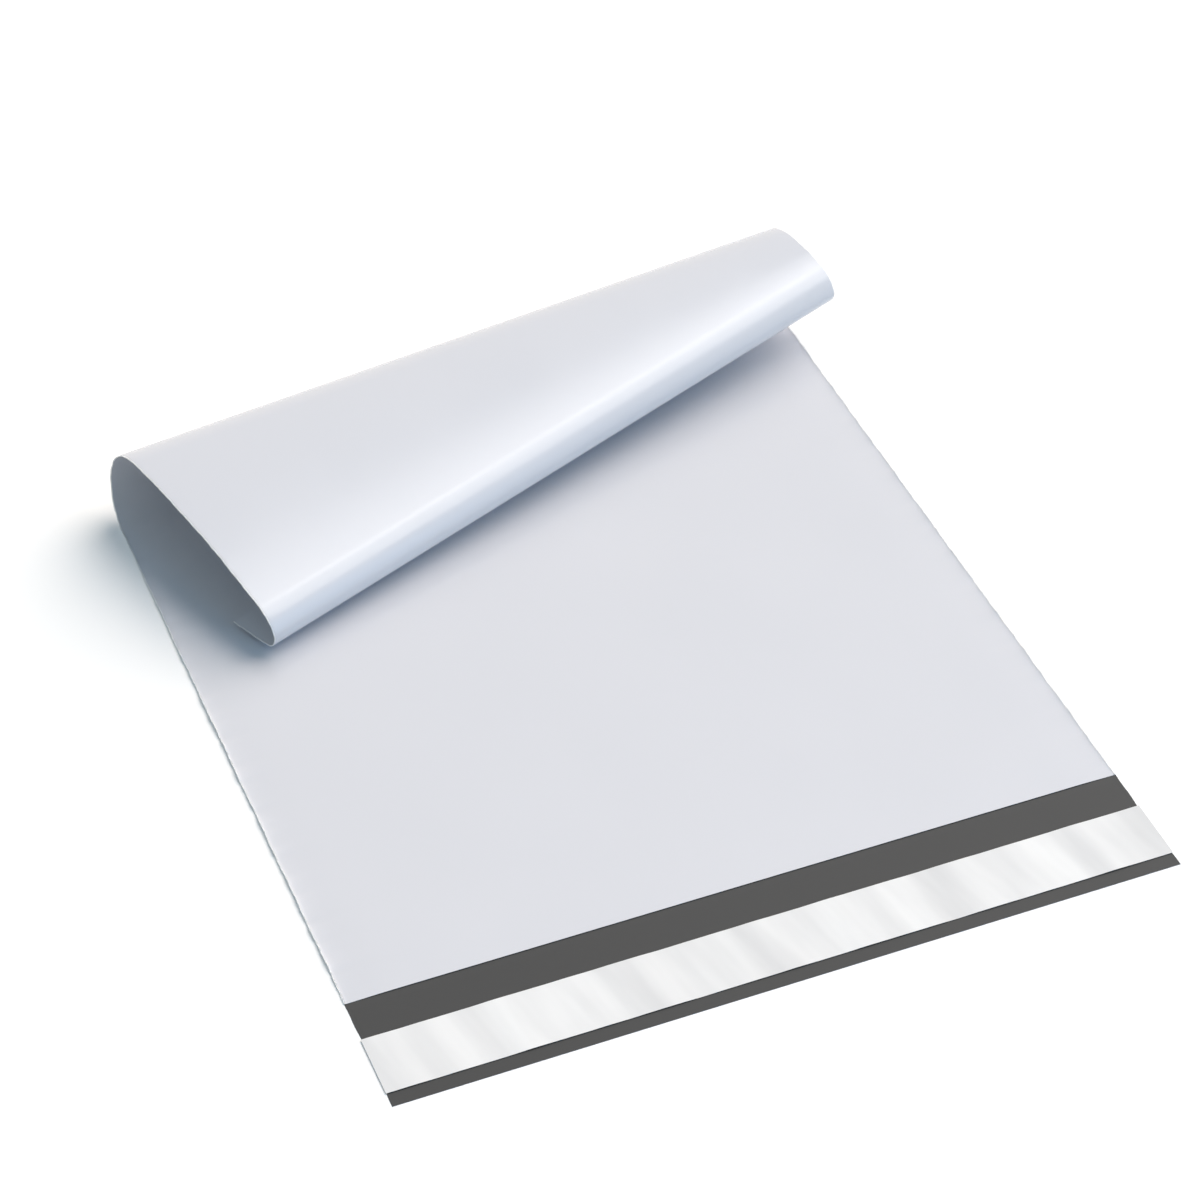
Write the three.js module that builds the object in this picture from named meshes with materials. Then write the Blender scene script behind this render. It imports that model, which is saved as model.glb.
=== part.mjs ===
// Poly mailer bag: a flat white film bag with an adhesive closing flap, its bottom end rolled up and
// over. Millimetres, +Z up. The origin is the middle of the flat underside, +X runs across the bag to
// its right and +Y from the flap to the bottom fold.
import * as THREE from 'three';

// Colours: the two sides of one co-extruded film, and the flap's strips
const OUTSIDE_WHITE = new THREE.Color(0xe0e1e6);
const INSIDE_GREY = new THREE.Color(0x585858);
const ADHESIVE_CREAM = 0xe9e4cf;
const LINER_WHITE = 0xf4f4f4;

// Flat bag
const BAG_WIDTH = 280;
const BODY_LENGTH = 420;
const FLAP_LENGTH = 46;
const FILM_THICKNESS = 0.08;
const AIR_GAP = 0.24;
const SIDE_WELD = 1.5;

// Closing flap
const LIP_LENGTH = 5.6;
const LINER_LENGTH = 24;
const LINER_THICKNESS = 0.08;
const ADHESIVE_LENGTH = 16;
const ADHESIVE_THICKNESS = 0.1;
const ADHESIVE_INSET = 4;

// The roll: a wide bend that turns the film up and over, a long bow that comes forward and narrows to
// the right, a round shoulder, and a tight bend that tucks the bottom end under. It starts at these
// distances along the film from the flap's front edge, at the bag's left and right side. Turns are in
// degrees.
const ROLL_START_LEFT = 296;
const ROLL_START_RIGHT = 335;
const BACK_RADIUS = 15.7;
const BACK_TURN = 182;
const BACK_STEPS = 18;
const BOW_LEFT = 81;
const BOW_RIGHT = 19;
const BOW_TURN = 16;
const BOW_STEPS = 6;
const SHOULDER_RADIUS = 15.7;
const SHOULDER_TURN = 42;
const SHOULDER_STEPS = 6;
const TUCK_RADIUS = 4.7;
const TUCK_TURN = 120;
const TUCK_STEPS = 10;

// A point this near to a line counts as on it
const ON_LINE = 1e-6;

const BAG_LENGTH = BODY_LENGTH + FLAP_LENGTH;
const BAG_THICKNESS = 2 * FILM_THICKNESS + AIR_GAP;
const MID_HEIGHT = BAG_THICKNESS / 2;
const ORIGIN_ALONG = ROLL_START_LEFT / 2;

// The lines across the flat film where it turns, each with its place at both sides and its angle.
function turnLines() {
  const lines = [];
  let left = ROLL_START_LEFT;
  let right = ROLL_START_RIGHT;
  const add = (spanLeft, spanRight, turn, steps) => {
    for (let i = 0; i < steps; i += 1) {
      const share = (i + 0.5) / steps;
      lines.push({
        left: left + spanLeft * share,
        right: right + spanRight * share,
        angle: THREE.MathUtils.degToRad(turn) / steps,
      });
    }
    left += spanLeft;
    right += spanRight;
  };
  const arc = (radius, turn) => {
    const slope = Math.atan((right - left) / BAG_WIDTH);
    return (radius * THREE.MathUtils.degToRad(turn)) / Math.cos(slope);
  };
  const back = arc(BACK_RADIUS, BACK_TURN);
  add(back, back, BACK_TURN, BACK_STEPS);
  add(BOW_LEFT, BOW_RIGHT, BOW_TURN, BOW_STEPS);
  const shoulder = arc(SHOULDER_RADIUS, SHOULDER_TURN);
  add(shoulder, shoulder, SHOULDER_TURN, SHOULDER_STEPS);
  const tuck = arc(TUCK_RADIUS, TUCK_TURN);
  add(tuck, tuck, TUCK_TURN, TUCK_STEPS);
  return lines;
}

const LINES = turnLines();

// Where a point of the flat film comes to lie: every line that it is past turns it about that line, and
// a point on a line takes half of its turn, so that the film keeps its thickness.
function bend(across, along, height) {
  const point = new THREE.Vector3(across, along, height - MID_HEIGHT);
  for (let i = LINES.length - 1; i >= 0; i -= 1) {
    const line = LINES[i];
    const past = along - line.left - ((line.right - line.left) * across) / BAG_WIDTH;
    if (past < -ON_LINE) continue;
    const on = past < ON_LINE;
    const angle = on ? line.angle / 2 : line.angle;
    const axis = new THREE.Vector3(BAG_WIDTH, line.right - line.left, 0).normalize();
    if (on) point.z /= Math.cos(angle);
    point.y -= line.left;
    point.applyAxisAngle(axis, angle);
    point.y += line.left;
  }
  point.z += MID_HEIGHT;
  return point.add(new THREE.Vector3(-BAG_WIDTH / 2, -ORIGIN_ALONG, 0));
}

// A closed mesh from a block of cells: filled(i, j, k) says which cells hold film, place(i, j, k) gives
// the corners and tint(k) their colour. Only the faces between film and air are kept.
function cellsGeometry(ni, nj, nk, filled, place, tint) {
  const positions = [];
  const colors = [];
  const index = [];
  const known = new Map();
  const corner = (i, j, k) => {
    const key = `${i},${j},${k}`;
    if (!known.has(key)) {
      known.set(key, positions.length / 3);
      const p = place(i, j, k);
      positions.push(p.x, p.y, p.z);
      colors.push(...tint(k).toArray());
    }
    return known.get(key);
  };
  const solid = (i, j, k) =>
    i >= 0 && j >= 0 && k >= 0 && i < ni && j < nj && k < nk && filled(i, j, k);
  const quad = (a, b, c, d) => {
    index.push(a, b, c, a, c, d);
  };
  for (let i = 0; i < ni; i += 1) {
    for (let j = 0; j < nj; j += 1) {
      for (let k = 0; k < nk; k += 1) {
        if (!solid(i, j, k)) continue;
        const c = (x, y, z) => corner(i + x, j + y, k + z);
        if (!solid(i - 1, j, k)) quad(c(0, 0, 0), c(0, 0, 1), c(0, 1, 1), c(0, 1, 0));
        if (!solid(i + 1, j, k)) quad(c(1, 0, 0), c(1, 1, 0), c(1, 1, 1), c(1, 0, 1));
        if (!solid(i, j - 1, k)) quad(c(0, 0, 0), c(1, 0, 0), c(1, 0, 1), c(0, 0, 1));
        if (!solid(i, j + 1, k)) quad(c(0, 1, 0), c(0, 1, 1), c(1, 1, 1), c(1, 1, 0));
        if (!solid(i, j, k - 1)) quad(c(0, 0, 0), c(0, 1, 0), c(1, 1, 0), c(1, 0, 0));
        if (!solid(i, j, k + 1)) quad(c(0, 0, 1), c(1, 0, 1), c(1, 1, 1), c(0, 1, 1));
      }
    }
  }
  const geometry = new THREE.BufferGeometry();
  geometry.setAttribute('position', new THREE.Float32BufferAttribute(positions, 3));
  geometry.setAttribute('color', new THREE.Float32BufferAttribute(colors, 3));
  geometry.setIndex(index);
  geometry.computeVertexNormals();
  return geometry;
}

// Film: two panels with the air between them, joined by the side welds and the bottom fold, and the
// flap as the back panel's own end.
function filmGeometry() {
  const across = [0, SIDE_WELD, BAG_WIDTH - SIDE_WELD, BAG_WIDTH];
  const rows = [
    { left: 0, right: 0 },
    { left: FLAP_LENGTH, right: FLAP_LENGTH },
    ...LINES,
    { left: BAG_LENGTH - FILM_THICKNESS, right: BAG_LENGTH - FILM_THICKNESS },
    { left: BAG_LENGTH, right: BAG_LENGTH },
  ];
  const heights = [0, FILM_THICKNESS, FILM_THICKNESS + AIR_GAP, BAG_THICKNESS];
  const foldRow = rows.length - 2;
  const filled = (i, j, k) => {
    if (j === 0) return k === 0;
    return !(i === 1 && k === 1 && j < foldRow);
  };
  const place = (i, j, k) => {
    const row = rows[j];
    const along = row.left + ((row.right - row.left) * across[i]) / BAG_WIDTH;
    return bend(across[i], along, heights[k]);
  };
  const outermost = heights.length - 1;
  const tint = (k) => (k === 0 || k === outermost ? OUTSIDE_WHITE : INSIDE_GREY);
  return cellsGeometry(across.length - 1, rows.length - 1, outermost, filled, place, tint);
}

// A flat strip across the flap, inset from both sides.
function stripGeometry(inset, from, length, base, thickness) {
  const geometry = new THREE.BoxGeometry(BAG_WIDTH - 2 * inset, length, thickness);
  geometry.translate(0, from + length / 2 - ORIGIN_ALONG, base + thickness / 2);
  return geometry;
}

function piece(name, geometry, color, roughness) {
  const material = new THREE.MeshStandardMaterial({ color, roughness, metalness: 0 });
  const mesh = new THREE.Mesh(geometry, material);
  mesh.name = name;
  return mesh;
}

const mailer = new THREE.Group();
mailer.name = 'poly_mailer_bag';

const film = piece('bag_film', filmGeometry(), 0xffffff, 0.4);
film.material.vertexColors = true;
mailer.add(film);

const adhesiveFrom = LIP_LENGTH + (LINER_LENGTH - ADHESIVE_LENGTH) / 2;
mailer.add(
  piece(
    'adhesive_strip',
    stripGeometry(ADHESIVE_INSET, adhesiveFrom, ADHESIVE_LENGTH, FILM_THICKNESS, ADHESIVE_THICKNESS),
    ADHESIVE_CREAM,
    0.3,
  ),
);

mailer.add(
  piece(
    'release_liner',
    stripGeometry(0, LIP_LENGTH, LINER_LENGTH, FILM_THICKNESS + ADHESIVE_THICKNESS, LINER_THICKNESS),
    LINER_WHITE,
    0.25,
  ),
);

export default mailer;
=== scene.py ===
"""A poly mailer bag: white film outside and dark grey inside, with an adhesive flap and a rolled end."""

import math

import bpy
import numpy as np
from mathutils import Matrix, Vector


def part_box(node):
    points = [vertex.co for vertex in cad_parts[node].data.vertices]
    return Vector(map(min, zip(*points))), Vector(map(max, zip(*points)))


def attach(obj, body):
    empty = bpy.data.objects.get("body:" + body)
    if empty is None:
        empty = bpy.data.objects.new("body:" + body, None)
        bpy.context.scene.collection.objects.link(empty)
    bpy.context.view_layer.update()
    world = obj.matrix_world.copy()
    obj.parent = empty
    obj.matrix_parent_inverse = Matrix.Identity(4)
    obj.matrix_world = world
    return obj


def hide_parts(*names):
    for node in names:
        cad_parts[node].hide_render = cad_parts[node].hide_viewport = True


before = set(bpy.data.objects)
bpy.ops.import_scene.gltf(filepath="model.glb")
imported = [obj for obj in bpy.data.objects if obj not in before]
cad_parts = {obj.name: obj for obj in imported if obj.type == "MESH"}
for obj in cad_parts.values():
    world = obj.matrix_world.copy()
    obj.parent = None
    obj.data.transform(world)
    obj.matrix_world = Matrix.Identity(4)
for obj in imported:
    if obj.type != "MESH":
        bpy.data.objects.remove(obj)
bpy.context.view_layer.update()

bl_info = {
    "name": "Poly mailer bag",
    "version": (1, 0, 0),
    "blender": (4, 5, 0),
    "location": "View3D > Sidebar > Mailer",
    "description": "Builds a film mailer with its adhesive flap and rolled end",
    "category": "Add Mesh",
}

MM = 0.001
BODY = "root"

# Places that the frame gives: the liner runs from side to side of the flap, on the adhesive
FILM_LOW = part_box("bag_film")[0]
LINER_LOW, LINER_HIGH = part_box("release_liner")
ADHESIVE_LOW, ADHESIVE_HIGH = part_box("adhesive_strip")

# How finely the film's roll is divided: turn lines in each of its bends
BACK_STEPS = 52
BOW_STEPS = 48
SHOULDER_STEPS = 18
TUCK_STEPS = 26

# Points of the film: at each side the columns crowd towards the weld's cut, and WELD_COLUMN is the one at
# the weld's inner side
EDGE_COLUMNS = np.array([0, 0.5, 1, 1.5, 2.2, 3.2, 4.6, 6.5, 9, 12]) * MM
WELD_COLUMN = 3
INNER_COLUMNS = 48
FLAP_ROWS = 16
PANEL_ROWS = 170
TAIL_ROWS = 16

# A point this near to a line counts as on it
ON_LINE = 1e-8

# Waves of the film and its strips: rows of (wavelength, phase, share)
SWELL_ACROSS = ((83 * MM, 0.4, 0.5), (139 * MM, 2.1, 0.8))
SWELL_ALONG = ((117 * MM, 1.2, 0.6), (71 * MM, 0.3, 0.4))
PUCKERS = ((4.7 * MM, 0, 0.35), (7.9 * MM, 1.1, 0.5), (13.3 * MM, 2, 0.6), (31 * MM, 0.6, 0.5))
CUT_WAVES = ((11 * MM, 0.5, 0.5), (4.1 * MM, 1.9, 0.4), (37 * MM, 0.2, 0.6))
ADHESIVE_WAVES = ((17 * MM, 0.3, 0.5), (7 * MM, 1.4, 0.3))
LINER_WAVES = ((23 * MM, 0.7, 0.6), (41 * MM, 2.4, 0.7), (13 * MM, 1.2, 0.25), (97 * MM, 0.1, 0.5))

# The two sets of swells cross at a slant. The puckers of the right weld are the left ones, stretched and
# shifted, because the welds are cut one after the other.
SWELL_ACROSS_SLANT = 0.35
SWELL_ALONG_SLANT = -0.2
RIGHT_WELD_STRETCH = 1.13
RIGHT_WELD_SHIFT = 5 * MM

# How far those waves move the film and its strips
SWELL_LIFT = 0.10 * MM
PUCKER_LIFT = 0.2 * MM
CUT_WANDER = 0.14 * MM
ADHESIVE_WANDER = 0.25 * MM
LINER_LIFT = 0.08 * MM

# Puckers fade in from a weld in a short and a long reach, each with its share, and the lift ends before
# the mouth and mostly before the roll
PUCKER_REACHES = ((2 * MM, 0.6), (9 * MM, 0.4))
MOUTH_REACH = 15 * MM
ROLL_REACH = 20 * MM
ROLL_TAKES = 0.8

# The blade leaves a bead along a weld's cut. From the weld the panels part, from nearly shut to the whole
# air gap.
BEAD_HEIGHT = 0.2 * MM
BEAD_WIDTH = 0.45 * MM
CUT_REACH = 2 * MM
PARTING_REACH = 12 * MM
SHUT = 0.04

# Adhesive: columns along the strip, and its section as places across it and heights there
ADHESIVE_COLUMNS = 160
ADHESIVE_SHARES = np.array([0, 0.03, 0.1, 0.3, 0.5, 0.7, 0.9, 0.97, 1])
ADHESIVE_CROWN = np.array([0.35, 0.75, 0.95, 1, 0.98, 1, 0.95, 0.75, 0.35])

# Liner: its points, and how far its waves slant
LINER_COLUMNS = 281
LINER_ROWS = 25
LINER_SLANT = 0.2

# Edges sharper than this stay crisp, in degrees
FILM_CREASE = 60
STRIP_CREASE = 50

# Materials: refraction of polyethylene, silicone and hot melt, and the depth of their fine relief
FILM_IOR = 1.51
LINER_IOR = 1.48
HOT_MELT_IOR = 1.49
RELIEF = 0.05 * MM

# Way from the bag to the camera: at its left front, looking down
CAMERA_SWING = math.radians(22.1)
CAMERA_RISE = math.radians(41.8)
CAMERA_WAY = Vector(
    (
        -math.sin(CAMERA_SWING) * math.cos(CAMERA_RISE),
        -math.cos(CAMERA_SWING) * math.cos(CAMERA_RISE),
        math.sin(CAMERA_RISE),
    )
)

# Camera: what it looks at and how far away it is, in bag widths, and its lens in mm
TARGET_RIGHT = 0.035
TARGET_BACK = 0.700
CAMERA_AWAY = 4.66
SENSOR = 36
LENS = 108.15

# Lamps hang this far from the bag, in metres. A way leads from the bag to the lamp.
LAMP_AWAY = 3.0
SUN_WAY = Vector((1.1, 0.5, 1.0))
SUN_STRENGTH = 3.75
SUN_SPREAD = math.radians(66)
SUN_COLOUR = (1.0, 0.882, 0.789)
FRONT_WAY = Vector((0.5, -0.78, 0.5))
FRONT_SIDE = 1.8
FRONT_WATTS = 14.6
FRONT_COLOUR = (0.05, 0.48, 1.0)
SKY_COLOUR = (0.72, 0.90, 1.0)
SKY_STRENGTH = 0.361

# Light boxes that the roll mirrors, from its top to its front: how far up, in degrees, the faces look
# that mirror a box's two ends, and the box's radiance
MIRRORED_BOXES = ((79.5, 77, 1.8), (77, 74.5, 3.3), (74.5, 66, 5.6), (66, 51, 3.9), (51, 36, 0.9))
BOX_LENGTH = 2.4
BOX_COLOUR = (1.0, 0.98, 0.95)

# Floor: half its side in metres, how far it lies under the bag, and the strength of its veil
FLOOR_HALF = 6.0
FLOOR_GAP = 0.02 * MM
FLOOR_VEIL = 0.08


def to_linear(code):
    """A linear colour from an sRGB hex value."""
    parts = [int(code[i : i + 2], 16) / 255 for i in (1, 3, 5)]
    return [c / 12.92 if c <= 0.04045 else ((c + 0.055) / 1.055) ** 2.4 for c in parts]


def length(name, description, default):
    """A length in metres."""
    return bpy.props.FloatProperty(
        name=name, description=description, default=default, unit="LENGTH", precision=5
    )


def angle(name, description, degrees):
    """An angle, given in degrees."""
    return bpy.props.FloatProperty(
        name=name, description=description, default=math.radians(degrees), subtype="ANGLE"
    )


def colour(name, description, code):
    """A colour, given as an sRGB hex value."""
    return bpy.props.FloatVectorProperty(
        name=name, description=description, default=to_linear(code), subtype="COLOR", min=0, max=1
    )


class MailerSizes(bpy.types.PropertyGroup):
    """Sizes of the flat bag and of its roll"""

    width: length("Width", "Across the bag, from side to side", LINER_HIGH.x - LINER_LOW.x)
    body_length: length("Body length", "From the mouth to the bottom fold", 420 * MM)
    flap_length: length("Flap length", "From the flap's front edge to the mouth", 46 * MM)
    film: length("Film", "Thickness of one panel", ADHESIVE_LOW.z - FILM_LOW.z)
    air_gap: length("Air gap", "Air between the panels", 0.24 * MM)
    weld: length("Side weld", "Width of the melted seam at each side", 1.5 * MM)
    roll_left: length("Roll start, left", "Film from the flap's edge to the roll, at the left", 296 * MM)
    roll_right: length("Roll start, right", "Film from the flap's edge to the roll, at the right", 335 * MM)
    back_radius: length("Back radius", "Bend that turns the film up and over", 15.7 * MM)
    back_turn: angle("Back turn", "How far that bend turns", 182)
    bow_left: length("Bow, left", "Film in the long bow over the roll, at the left", 81 * MM)
    bow_right: length("Bow, right", "Film in the long bow over the roll, at the right", 19 * MM)
    bow_turn: angle("Bow turn", "How far the bow turns", 16)
    shoulder_radius: length("Shoulder radius", "Round front of the roll", 15.7 * MM)
    shoulder_turn: angle("Shoulder turn", "How far the shoulder turns", 42)
    tuck_radius: length("Tuck radius", "Tight bend that turns the end under", 4.7 * MM)
    tuck_turn: angle("Tuck turn", "How far the tuck turns", 120)


class MailerColours(bpy.types.PropertyGroup):
    """Colours of the film's two sides, the welds, the flap's strips and the floor"""

    outside: colour("Outside", "White side of the film", "#D9DAE0")
    inside: colour("Inside", "Dark grey side of the film", "#414141")
    # The weld's white, whiter than the film, is a painted highlight: it makes the cut read as a bright line
    weld: colour("Weld", "Cut edge of the side welds", "#FFFFFF")
    # The liner's lighter and darker streaks between these two colours are a painted reflection of its gloss
    liner: colour("Liner", "Release liner, where it lies loose", "#F5F5F5")
    liner_painted_streak: colour("Liner, wetted", "Release liner, where the adhesive wets its underside", "#DBDBDC")
    hot_melt: colour("Hot melt", "Adhesive under the liner", "#E6DFC4")
    floor: colour("Floor", "Studio floor", "#FFFFFF")


class MailerSettings(bpy.types.PropertyGroup):
    """Everything that a user would change"""

    sizes: bpy.props.PointerProperty(name="Sizes", type=MailerSizes)
    colours: bpy.props.PointerProperty(name="Colours", type=MailerColours)


def turn_lines(sizes):
    """Lines across the flat film where it turns: rows of (at the left side, at the right side, angle)."""
    lines = []
    left, right = sizes.roll_left, sizes.roll_right

    def add(span_left, span_right, turn, steps):
        nonlocal left, right
        for step in range(steps):
            share = (step + 0.5) / steps
            lines.append((left + span_left * share, right + span_right * share, turn / steps))
        left += span_left
        right += span_right

    def add_arc(radius, turn, steps):
        span = radius * turn / math.cos(math.atan2(right - left, sizes.width))
        add(span, span, turn, steps)

    add_arc(sizes.back_radius, sizes.back_turn, BACK_STEPS)
    add(sizes.bow_left, sizes.bow_right, sizes.bow_turn, BOW_STEPS)
    add_arc(sizes.shoulder_radius, sizes.shoulder_turn, SHOULDER_STEPS)
    add_arc(sizes.tuck_radius, sizes.tuck_turn, TUCK_STEPS)
    return np.array(lines)


def bend(sizes, lines, across, along, height):
    """Where points of the flat film come to lie.

    Each line that a point is past turns it about that line, and a line that it is on by half as much."""
    middle = sizes.film + sizes.air_gap / 2
    point = np.stack([across, along, height - middle], axis=-1)
    for left, right, turn in lines[::-1]:
        past = along - left - (right - left) * across / sizes.width
        angle_here = np.where(past > ON_LINE, turn, np.where(past > -ON_LINE, turn / 2, 0.0))[..., None]
        axis = np.array([sizes.width, right - left, 0.0])
        axis /= np.linalg.norm(axis)
        start = np.array([0.0, left, 0.0])
        arm = point - start
        turned = arm * np.cos(angle_here) + np.cross(axis, arm) * np.sin(angle_here)
        turned += axis * (arm @ axis)[..., None] * (1 - np.cos(angle_here))
        point = turned + start
    return point + np.array([-sizes.width / 2, FILM_LOW.y, middle])


def waves(place, parts):
    """A sum of sine waves along place: each part is (wavelength, phase, share)."""
    return sum(share * np.sin(2 * math.pi * place / size + phase) for size, phase, share in parts)


def crest(parts):
    """As high as a sum of waves can reach. Added to the waves, it keeps them from falling below zero."""
    return sum(share for _, _, share in parts)


def film_lift(sizes, across, along):
    """How far the film lies off its flat place: soft swells, and puckers that fade in from the welds."""
    swell = waves(across + SWELL_ACROSS_SLANT * along, SWELL_ACROSS)
    swell = swell * waves(along + SWELL_ALONG_SLANT * across, SWELL_ALONG)
    left = across < sizes.width / 2
    side = np.where(left, across, sizes.width - across)
    weld_along = np.where(left, along, RIGHT_WELD_STRETCH * along + RIGHT_WELD_SHIFT)
    pucker = crest(PUCKERS) + waves(weld_along, PUCKERS)
    fade = sum(share * np.exp(-side / reach) for reach, share in PUCKER_REACHES)
    free = np.clip((along - sizes.flap_length) / MOUTH_REACH, 0, 1)
    # The pull of the bends takes most of the puckers out of the roll
    roll_start = sizes.roll_left + (sizes.roll_right - sizes.roll_left) * across / sizes.width
    slack = 1 - ROLL_TAKES * np.clip((along - roll_start + ROLL_REACH) / ROLL_REACH, 0, 1)
    return (SWELL_LIFT * (1 + swell) + PUCKER_LIFT * pucker * fade) * free * slack


def cells_mesh(name, place, filled, uv):
    """A closed mesh from a block of cells: only the faces between a filled cell and air are kept.

    place is the corners' array, filled the cells' array, and uv the corners' flat place on the film. The
    block's own numbers of each face's corners come back with the piece."""
    ni, nj, nk = filled.shape
    padded = np.zeros((ni + 2, nj + 2, nk + 2), bool)
    padded[1:-1, 1:-1, 1:-1] = filled
    index = np.arange(place[..., 0].size).reshape(place.shape[:3])
    sides = [
        ((-1, 0, 0), [(0, 0, 0), (0, 0, 1), (0, 1, 1), (0, 1, 0)]),
        ((1, 0, 0), [(1, 0, 0), (1, 1, 0), (1, 1, 1), (1, 0, 1)]),
        ((0, -1, 0), [(0, 0, 0), (1, 0, 0), (1, 0, 1), (0, 0, 1)]),
        ((0, 1, 0), [(0, 1, 0), (0, 1, 1), (1, 1, 1), (1, 1, 0)]),
        ((0, 0, -1), [(0, 0, 0), (0, 1, 0), (1, 1, 0), (1, 0, 0)]),
        ((0, 0, 1), [(0, 0, 1), (1, 0, 1), (1, 1, 1), (0, 1, 1)]),
    ]
    faces, cell_corners = [], []
    for (di, dj, dk), corners in sides:
        beside = padded[1 + di : 1 + di + ni, 1 + dj : 1 + dj + nj, 1 + dk : 1 + dk + nk]
        cells = np.argwhere(filled & ~beside)
        offsets = np.array(corners)
        at = cells[:, None, :] + offsets[None, :, :]
        faces.append(index[at[..., 0], at[..., 1], at[..., 2]])
        cell_corners.append(at)
    faces = np.concatenate(faces)
    cell_corners = np.concatenate(cell_corners)
    used, faces = np.unique(faces, return_inverse=True)
    faces = faces.reshape(-1, 4)
    mesh = bpy.data.meshes.new(name)
    mesh.from_pydata(place.reshape(-1, 3)[used], [], faces)
    flat_uv = uv.reshape(-1, 2)[used]
    layer = mesh.uv_layers.new(name="film")
    layer.data.foreach_set("uv", flat_uv[faces.ravel()].astype(np.float32).ravel())
    mesh.validate()
    piece = bpy.data.objects.new(name, mesh)
    bpy.context.scene.collection.objects.link(piece)
    return piece, cell_corners


def add_node(tree, kind, settings=(), links=()):
    """A shader node with its settings and the sockets that lead into it."""
    node = tree.nodes.new(kind)
    for name, value in dict(settings).items():
        if isinstance(name, int) or name in node.inputs:
            node.inputs[name].default_value = value
        else:
            setattr(node, name, value)
    for name, source in dict(links).items():
        tree.links.new(source, node.inputs[name])
    return node


def new_material(name, base, settings):
    """A material with one Principled shader, its constants on the shader's own sockets."""
    material = bpy.data.materials.new(name)
    material.use_nodes = True
    shader = material.node_tree.nodes["Principled BSDF"]
    shader.inputs["Base Color"].default_value = (*base, 1)
    for socket, value in settings.items():
        shader.inputs[socket].default_value = value
    return material, material.node_tree, shader


def film_coordinates(tree, across_mm, along_mm):
    """The film's own flat place, counted in steps of the given sizes."""
    place = add_node(tree, "ShaderNodeUVMap", {"uv_map": "film"})
    scale = (1 / (across_mm * MM), 1 / (along_mm * MM), 1)
    return add_node(
        tree, "ShaderNodeMapping", {"Scale": scale}, {"Vector": place.outputs["UV"]}
    ).outputs["Vector"]


def soft_noise(tree, across_mm, along_mm, detail):
    """Noise on the film's flat place, in spots of about the given size."""
    vector = film_coordinates(tree, across_mm, along_mm)
    noise = add_node(tree, "ShaderNodeTexNoise", {"Scale": 1.0, "Detail": detail}, {"Vector": vector})
    return noise.outputs["Fac"]


def cloudy_gloss(tree, shader, spots_mm, low, high):
    """Roughness that drifts from low to high in soft clouds."""
    cloud = soft_noise(tree, *spots_mm, 2.0)
    spread = {"From Min": 0.3, "From Max": 0.7, "To Min": low, "To Max": high}
    gloss = add_node(tree, "ShaderNodeMapRange", spread, {"Value": cloud})
    tree.links.new(gloss.outputs["Result"], shader.inputs["Roughness"])


def fine_relief(tree, shader, height, strength):
    """Bump too fine for the mesh."""
    settings = {"Strength": strength, "Distance": RELIEF}
    bump = add_node(tree, "ShaderNodeBump", settings, {"Height": height})
    tree.links.new(bump.outputs["Normal"], shader.inputs["Normal"])


def white_film(base):
    """Blown polyethylene, pigmented white: a satin skin with faint die lines along the web."""
    material, tree, shader = new_material("white_ldpe_film", base, {"IOR": FILM_IOR})
    cloudy_gloss(tree, shader, (45, 70), 0.18, 0.24)
    # Die lines are about 0.1 mm apart on film, too fine to show, so they are drawn 1.4 mm apart
    fine_relief(tree, shader, soft_noise(tree, 1.4, 90, 3.0), 0.05)
    return material


def grey_film(base):
    """The same film's inner layer, pigmented dark grey: duller, because the outer skin took the polish."""
    settings = {"IOR": FILM_IOR, "Specular IOR Level": 0.25}
    material, tree, shader = new_material("grey_ldpe_film", base, settings)
    cloudy_gloss(tree, shader, (30, 50), 0.42, 0.52)
    fine_relief(tree, shader, soft_noise(tree, 0.9, 3, 3.0), 0.06)
    return material


def melted_weld_painted_highlight(base):
    """Film melted by the cutting blade: clearer, so light that falls on it also leaves at the pale cut. Its
    white, whiter than the film, is a painted highlight along the cut.
    """
    settings = {
        "IOR": FILM_IOR,
        "Roughness": 0.2,
        "Subsurface Weight": 1.0,
        "Subsurface Radius": (1, 1, 1),
        "Subsurface Scale": 1.5 * MM,
    }
    return new_material("melted_ldpe_weld_painted_highlight", base, settings)[0]


def silicone_liner(loose, painted_streak):
    """Siliconised release liner: slick and white, with soft darker streaks painted into its colour, a
    painted reflection of its gloss.
    """
    settings = {"IOR": LINER_IOR, "Coat Weight": 0.5, "Coat Roughness": 0.12}
    material, tree, shader = new_material("siliconised_liner", loose, settings)
    # Painted reflection: soft streaks of the liner's gloss, mixed into its colour from the darker colour to
    # the lighter
    streaks = soft_noise(tree, 19, 110, 3.0)
    soft_edges = {"From Min": 0.30, "From Max": 0.68}
    share = add_node(tree, "ShaderNodeMapRange", soft_edges, {"Value": streaks}).outputs["Result"]
    colours = {"Color1": (*painted_streak, 1), "Color2": (*loose, 1)}
    painted_streaks = add_node(tree, "ShaderNodeMixRGB", colours, {"Fac": share})
    tree.links.new(painted_streaks.outputs["Color"], shader.inputs["Base Color"])
    cloudy_gloss(tree, shader, (18, 40), 0.14, 0.24)
    return material


def hot_melt_glue(base):
    """Rubber hot melt: a cream, half clear band with a wet skin and small bubbles."""
    settings = {"IOR": HOT_MELT_IOR, "Roughness": 0.22, "Transmission Weight": 0.25}
    material, tree, shader = new_material("rubber_hot_melt", base, settings)
    vector = film_coordinates(tree, 1.6, 1.6)
    bubbles = add_node(tree, "ShaderNodeTexVoronoi", {"Scale": 1.0}, {"Vector": vector})
    fine_relief(tree, shader, bubbles.outputs["Distance"], 0.2)
    return material


def smooth(piece, limit_degrees):
    """Smooth shading, with the film's cut edges kept crisp."""
    piece.data.shade_smooth()
    piece.data.set_sharp_from_angle(angle=math.radians(limit_degrees))


def take_place(piece, node):
    """Let a piece stand for a solid of the frame."""
    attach(piece, BODY)
    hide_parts(node)


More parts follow.
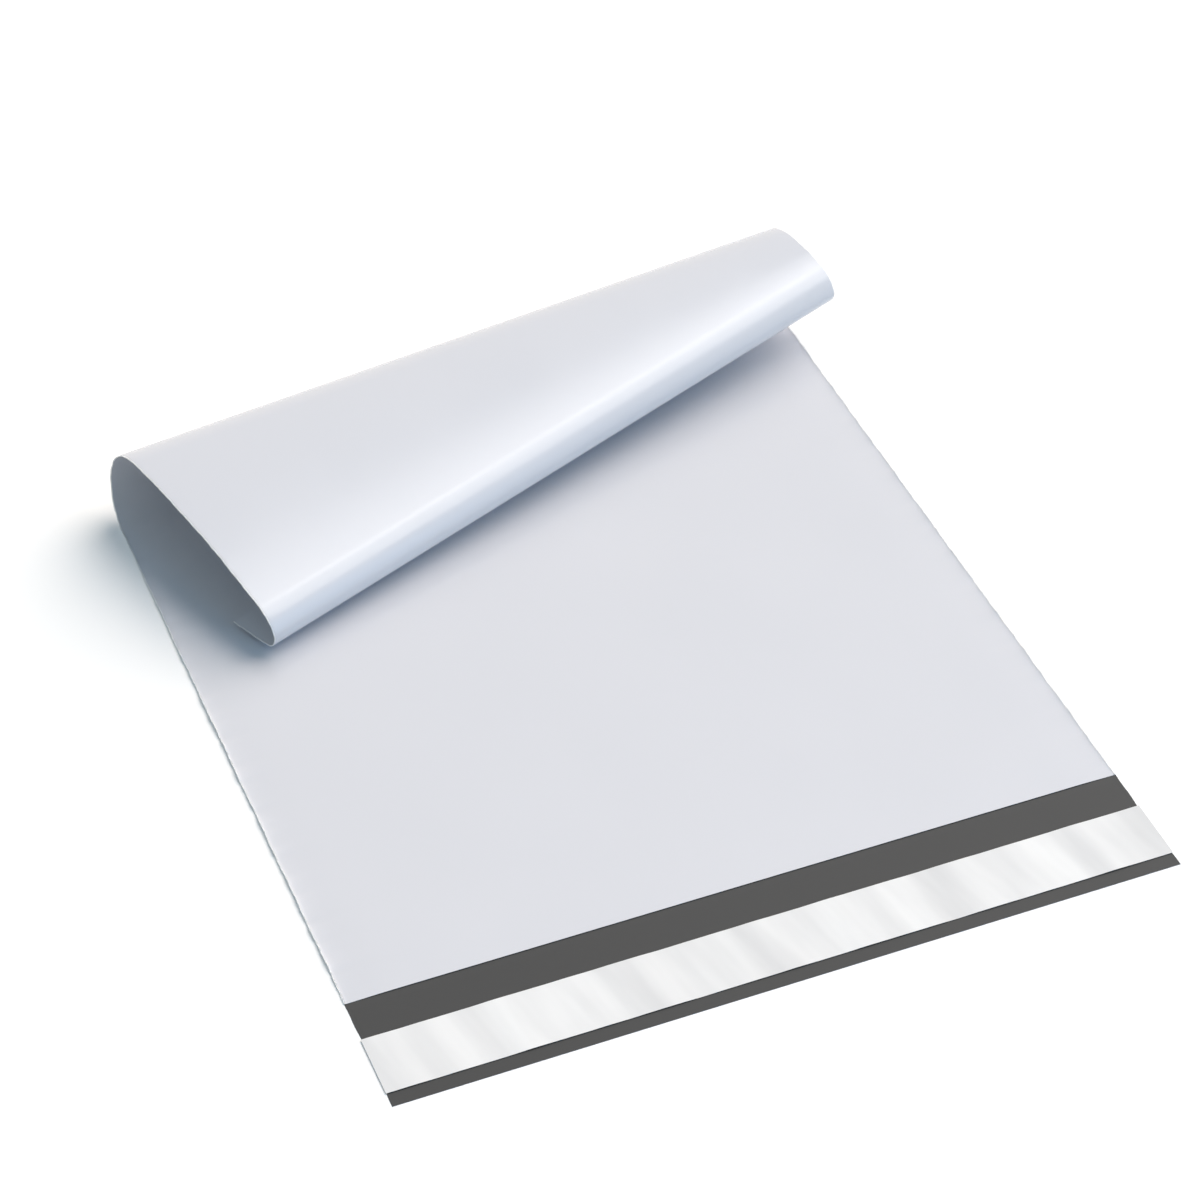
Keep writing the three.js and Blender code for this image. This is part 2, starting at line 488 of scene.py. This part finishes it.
class MAILER_OT_film_bag(bpy.types.Operator):
    """Build the film: two panels joined by side welds and a bottom fold, with the flap and the roll"""

    bl_idname = "mailer.film_bag"
    bl_label = "Film bag"

    def execute(self, context):
        settings = context.scene.mailer
        sizes = settings.sizes
        lines = turn_lines(sizes)
        end = sizes.flap_length + sizes.body_length
        columns = self.columns(sizes)
        rows = self.rows(sizes, lines, end)
        across = columns[:, None] * np.ones(len(rows))
        along = rows[:, 0] + (rows[:, 1] - rows[:, 0]) * across / sizes.width
        lift = film_lift(sizes, across, along)
        side = np.minimum(across, sizes.width - across)
        gap = sizes.air_gap * np.clip((side - sizes.weld) / PARTING_REACH, SHUT, 1)
        bead = BEAD_HEIGHT * np.exp(-((side / BEAD_WIDTH) ** 2))
        heights = [0, sizes.film, sizes.film + gap, 2 * sizes.film + gap + bead]
        # The cut wanders inwards only, so it stays within the bag's width
        inward = waves(along, CUT_WAVES) - crest(CUT_WAVES)
        outward = np.where(across < sizes.width / 2, -1, 1) * np.exp(-side / CUT_REACH)
        cut = across + CUT_WANDER * inward * outward
        layers = [bend(sizes, lines, cut, along, height + lift) for height in heights]
        place = np.stack(layers, axis=2)
        filled = self.filled_cells(sizes, columns, rows)
        flat_place = np.repeat(np.stack([across, along], axis=-1)[:, :, None], len(heights), axis=2)
        piece, corners = cells_mesh("film_bag", place, filled, flat_place)
        self.coat(piece, settings, columns, rows, corners)
        smooth(piece, FILM_CREASE)
        take_place(piece, "bag_film")
        return {"FINISHED"}

    @staticmethod
    def coat(piece, settings, columns, rows, corners):
        """White outside, grey between the panels, and melted film on the outermost column of the body,
        whose whiter colour is a painted highlight along the cut.
        """
        colours = settings.colours
        for material in (white_film(colours.outside), grey_film(colours.inside), melted_weld_painted_highlight(colours.weld)):
            piece.data.materials.append(material)
        column, row, level = np.moveaxis(corners, -1, 0)
        inside = ((level == 1) | (level == 2)).all(axis=1)
        outermost = (np.minimum(column, len(columns) - 1 - column) <= 1).all(axis=1)
        on_body = (rows[row, 0] >= settings.sizes.flap_length).all(axis=1)
        # Kind 2 is the melted weld, painted whiter as a highlight along the cut
        kinds = np.where(outermost & on_body, 2, inside)
        piece.data.polygons.foreach_set("material_index", kinds.astype(np.int32))

    @staticmethod
    def columns(sizes):
        """Places across the bag, closer together at the side welds."""
        edge = EDGE_COLUMNS.copy()
        edge[WELD_COLUMN] = sizes.weld
        inner = np.linspace(edge[-1], sizes.width - edge[-1], INNER_COLUMNS)[1:-1]
        return np.concatenate([edge, inner, sizes.width - edge[::-1]])

    @staticmethod
    def rows(sizes, lines, end):
        """Places along the bag, at its left and right side. In the roll they are its own turn lines."""
        flap = [(y, y) for y in np.linspace(0, sizes.flap_length, FLAP_ROWS)]
        start_left, start_right = lines[0][:2]
        shares = np.linspace(0, 1, PANEL_ROWS)[1:-1]
        mouth = sizes.flap_length
        flat = [(mouth + (start_left - mouth) * s, mouth + (start_right - mouth) * s) for s in shares]
        roll = [tuple(line[:2]) for line in lines]
        last_left, last_right = roll[-1]
        fold = end - sizes.film
        shares = np.linspace(0, 1, TAIL_ROWS)[1:]
        tail = [(last_left + (fold - last_left) * s, last_right + (fold - last_right) * s) for s in shares]
        return np.array(flap + flat + roll + tail + [(end, end)])

    @staticmethod
    def filled_cells(sizes, columns, rows):
        """Cells that hold film: the flap is the back panel alone, and air lies between the panels."""
        middle_of_cell = (columns[:-1] + columns[1:]) / 2
        welded = (middle_of_cell < sizes.weld) | (middle_of_cell > sizes.width - sizes.weld)
        on_flap = rows[1:, 0] <= sizes.flap_length + ON_LINE
        filled = np.ones((len(columns) - 1, len(rows) - 1, 3), bool)
        filled[:, on_flap, 1:] = False
        air = ~welded[:, None] & ~on_flap[None, :]
        air[:, -1] = False
        filled[:, :, 1] &= ~air
        return filled


class MAILER_OT_hot_melt(bpy.types.Operator):
    """Lay the adhesive across the flap as a flat bead with soft, slightly uneven edges"""

    bl_idname = "mailer.hot_melt"
    bl_label = "Hot melt strip"

    def execute(self, context):
        settings = context.scene.mailer
        low, high = ADHESIVE_LOW, ADHESIVE_HIGH
        x = np.linspace(low.x, high.x, ADHESIVE_COLUMNS)[:, None]
        inset = ADHESIVE_WANDER * (1 + waves(x, ADHESIVE_WAVES))
        y = low.y + inset + (high.y - low.y - 2 * inset) * ADHESIVE_SHARES
        top = low.z + (high.z - low.z) * ADHESIVE_CROWN
        levels = [np.stack(np.broadcast_arrays(x, y, z), axis=-1) for z in (low.z, top)]
        place = np.stack(levels, axis=2)
        filled = np.ones((y.shape[0] - 1, y.shape[1] - 1, 1), bool)
        piece, _ = cells_mesh("hot_melt_strip", place, filled, place[..., :2])
        piece.data.materials.append(hot_melt_glue(settings.colours.hot_melt))
        smooth(piece, STRIP_CREASE)
        take_place(piece, "adhesive_strip")
        return {"FINISHED"}


class MAILER_OT_release_liner(bpy.types.Operator):
    """Lay the release liner over the adhesive, with the shallow slanting waves that its gloss shows"""

    bl_idname = "mailer.release_liner"
    bl_label = "Release liner"

    def execute(self, context):
        settings = context.scene.mailer
        low, high = LINER_LOW, LINER_HIGH
        columns = np.linspace(low.x, high.x, LINER_COLUMNS)
        rows = np.linspace(low.y, high.y, LINER_ROWS)
        x, y = np.meshgrid(columns, rows, indexing="ij")
        slanted = x + LINER_SLANT * (y - low.y)
        lift = LINER_LIFT * (crest(LINER_WAVES) + waves(slanted, LINER_WAVES))
        below = np.stack([x, y, low.z + lift], axis=-1)
        above = below + np.array([0, 0, high.z - low.z])
        place = np.stack([below, above], axis=2)
        filled = np.ones((LINER_COLUMNS - 1, LINER_ROWS - 1, 1), bool)
        flat_place = np.repeat(np.stack([slanted, y], axis=-1)[:, :, None], 2, axis=2)
        piece, _ = cells_mesh("release_liner_strip", place, filled, flat_place)
        piece.data.materials.append(silicone_liner(settings.colours.liner, settings.colours.liner_painted_streak))
        smooth(piece, STRIP_CREASE)
        take_place(piece, "release_liner")
        return {"FINISHED"}


class MAILER_OT_stage(bpy.types.Operator):
    """Set the floor, the soft studio light and the camera"""

    bl_idname = "mailer.stage"
    bl_label = "Stage"

    def execute(self, context):
        scene = context.scene
        scene.view_settings.view_transform = "Standard"
        self.floor(scene)
        self.world(scene)
        self.lamps(scene)
        self.camera(scene)
        return {"FINISHED"}

    @staticmethod
    def floor(scene):
        """A sheet of matt white paper, wide enough to fill the picture."""
        half = FLOOR_HALF
        mesh = bpy.data.meshes.new("studio_floor")
        corners = [(-half, -half, 0), (half, -half, 0), (half, half, 0), (-half, half, 0)]
        mesh.from_pydata(corners, [], [(0, 1, 2, 3)])
        floor = bpy.data.objects.new("studio_floor", mesh)
        floor.location.z = FILM_LOW.z - FLOOR_GAP
        scene.collection.objects.link(floor)
        settings = {"Roughness": 1.0, "Specular IOR Level": 0.0, "Emission Color": (1, 1, 1, 1)}
        material, tree, shader = new_material("matt_paper_floor", scene.mailer.colours.floor, settings)
        # A thin veil that only the camera sees takes the paper from off-white to white
        path = add_node(tree, "ShaderNodeLightPath").outputs
        times = {"operation": "MULTIPLY", 1: FLOOR_VEIL}
        veil = add_node(tree, "ShaderNodeMath", times, {0: path["Is Camera Ray"]})
        tree.links.new(veil.outputs["Value"], shader.inputs["Emission Strength"])
        mesh.materials.append(material)

    @staticmethod
    def world(scene):
        """White to the camera and to mirrored rays, and a weak blue fill to everything else."""
        world = bpy.data.worlds.new("studio")
        scene.world = world
        world.use_nodes = True
        tree = world.node_tree
        tree.nodes.clear()
        path = add_node(tree, "ShaderNodeLightPath").outputs
        seen = path["Is Camera Ray"]
        for kind in ("Is Glossy Ray", "Is Transmission Ray"):
            either = add_node(tree, "ShaderNodeMath", {"operation": "MAXIMUM"}, {0: seen, 1: path[kind]})
            seen = either.outputs["Value"]
        sky = {"Color": (*SKY_COLOUR, 1), "Strength": SKY_STRENGTH}
        fill = add_node(tree, "ShaderNodeBackground", sky)
        white = add_node(tree, "ShaderNodeBackground", {"Color": (1, 1, 1, 1), "Strength": 1.0})
        mix = add_node(
            tree,
            "ShaderNodeMixShader",
            {},
            {0: seen, 1: fill.outputs["Background"], 2: white.outputs["Background"]},
        )
        add_node(tree, "ShaderNodeOutputWorld", {}, {"Surface": mix.outputs["Shader"]})

    def lamps(self, scene):
        """A wide overhead diffuser, a blue fill at the front, and the boxes that the roll mirrors."""
        sun = bpy.data.lights.new("overhead_diffuser", "SUN")
        sun.energy = SUN_STRENGTH
        sun.angle = SUN_SPREAD
        sun.color = SUN_COLOUR
        self.aim(scene, sun, SUN_WAY).visible_glossy = False

        front = bpy.data.lights.new("front_fill", "AREA")
        front.size = FRONT_SIDE
        front.energy = FRONT_WATTS
        front.color = FRONT_COLOUR
        self.aim(scene, front, FRONT_WAY)

        for upper_rise, lower_rise, radiance in MIRRORED_BOXES:
            self.mirrored_box(scene, upper_rise, lower_rise, radiance)

    def mirrored_box(self, scene, upper_rise, lower_rise, radiance):
        """A light box that only mirrored rays see, where the roll's faces between two rises mirror it."""
        rises = (math.radians(upper_rise), math.radians(lower_rise))
        upper, lower = (self.mirror_way(scene.mailer.sizes, rise) for rise in rises)
        box = bpy.data.lights.new("strip_box", "AREA")
        box.shape = "RECTANGLE"
        box.size = BOX_LENGTH
        # Boxes that share a rise meet edge to edge
        box.size_y = 2 * LAMP_AWAY * math.tan(upper.angle(lower) / 2)
        box.energy = radiance * math.pi * box.size * box.size_y
        box.color = BOX_COLOUR
        self.aim(scene, box, upper + lower, upper - lower).visible_diffuse = False

    @staticmethod
    def aim(scene, lamp, way, upright=Vector((0, 0, 1))):
        """Hang a lamp off the bag along way, facing it, with its second side along upright."""
        back = way.normalized()
        side = upright.cross(back).normalized()
        turn = Matrix((side, back.cross(side), back)).transposed()
        lamp_object = bpy.data.objects.new(lamp.name, lamp)
        lamp_object.matrix_world = Matrix.Translation(back * LAMP_AWAY) @ turn.to_4x4()
        scene.collection.objects.link(lamp_object)
        return lamp_object

    @staticmethod
    def mirror_way(sizes, rise):
        """Where the camera's line of sight goes on from the roll, at a face that looks up by rise."""
        fold = math.atan2(sizes.roll_right - sizes.roll_left, sizes.width)
        bow_end = sizes.roll_right + sizes.bow_right - sizes.roll_left - sizes.bow_left
        swing = 2 * fold - math.atan2(bow_end, sizes.width)
        level = math.cos(rise)
        normal = Vector((math.sin(swing) * level, -math.cos(swing) * level, math.sin(rise)))
        return 2 * normal.dot(CAMERA_WAY) * normal - CAMERA_WAY

    @staticmethod
    def camera(scene):
        """Camera at the left front, looking down, with a long lens."""
        width = scene.mailer.sizes.width
        target = Vector((TARGET_RIGHT * width, FILM_LOW.y + TARGET_BACK * width, 0))
        lens = bpy.data.cameras.new("camera")
        lens.sensor_width = SENSOR
        lens.lens = LENS
        camera = bpy.data.objects.new("camera", lens)
        camera.location = target + CAMERA_WAY * (CAMERA_AWAY * width)
        camera.rotation_euler = CAMERA_WAY.to_track_quat("Z", "Y").to_euler()
        scene.collection.objects.link(camera)
        scene.camera = camera


OPERATORS = (MAILER_OT_film_bag, MAILER_OT_hot_melt, MAILER_OT_release_liner, MAILER_OT_stage)


class MAILER_PT_sidebar(bpy.types.Panel):
    """Sizes, colours and the steps that build the bag"""

    bl_idname = "MAILER_PT_sidebar"
    bl_label = "Poly mailer"
    bl_space_type = "VIEW_3D"
    bl_region_type = "UI"
    bl_category = "Mailer"

    def draw(self, context):
        settings = context.scene.mailer
        for group in (settings.sizes, settings.colours):
            box = self.layout.box()
            for name in group.__annotations__:
                box.prop(group, name)
        for operator in OPERATORS:
            self.layout.operator(operator.bl_idname)


CLASSES = (MailerSizes, MailerColours, MailerSettings, *OPERATORS, MAILER_PT_sidebar)


def register():
    for item in CLASSES:
        bpy.utils.register_class(item)
    bpy.types.Scene.mailer = bpy.props.PointerProperty(type=MailerSettings)


def unregister():
    del bpy.types.Scene.mailer
    for item in reversed(CLASSES):
        bpy.utils.unregister_class(item)


def main():
    register()
    bpy.ops.mailer.film_bag()
    bpy.ops.mailer.hot_melt()
    bpy.ops.mailer.release_liner()
    bpy.ops.mailer.stage()


if __name__ == "__main__":
    main()
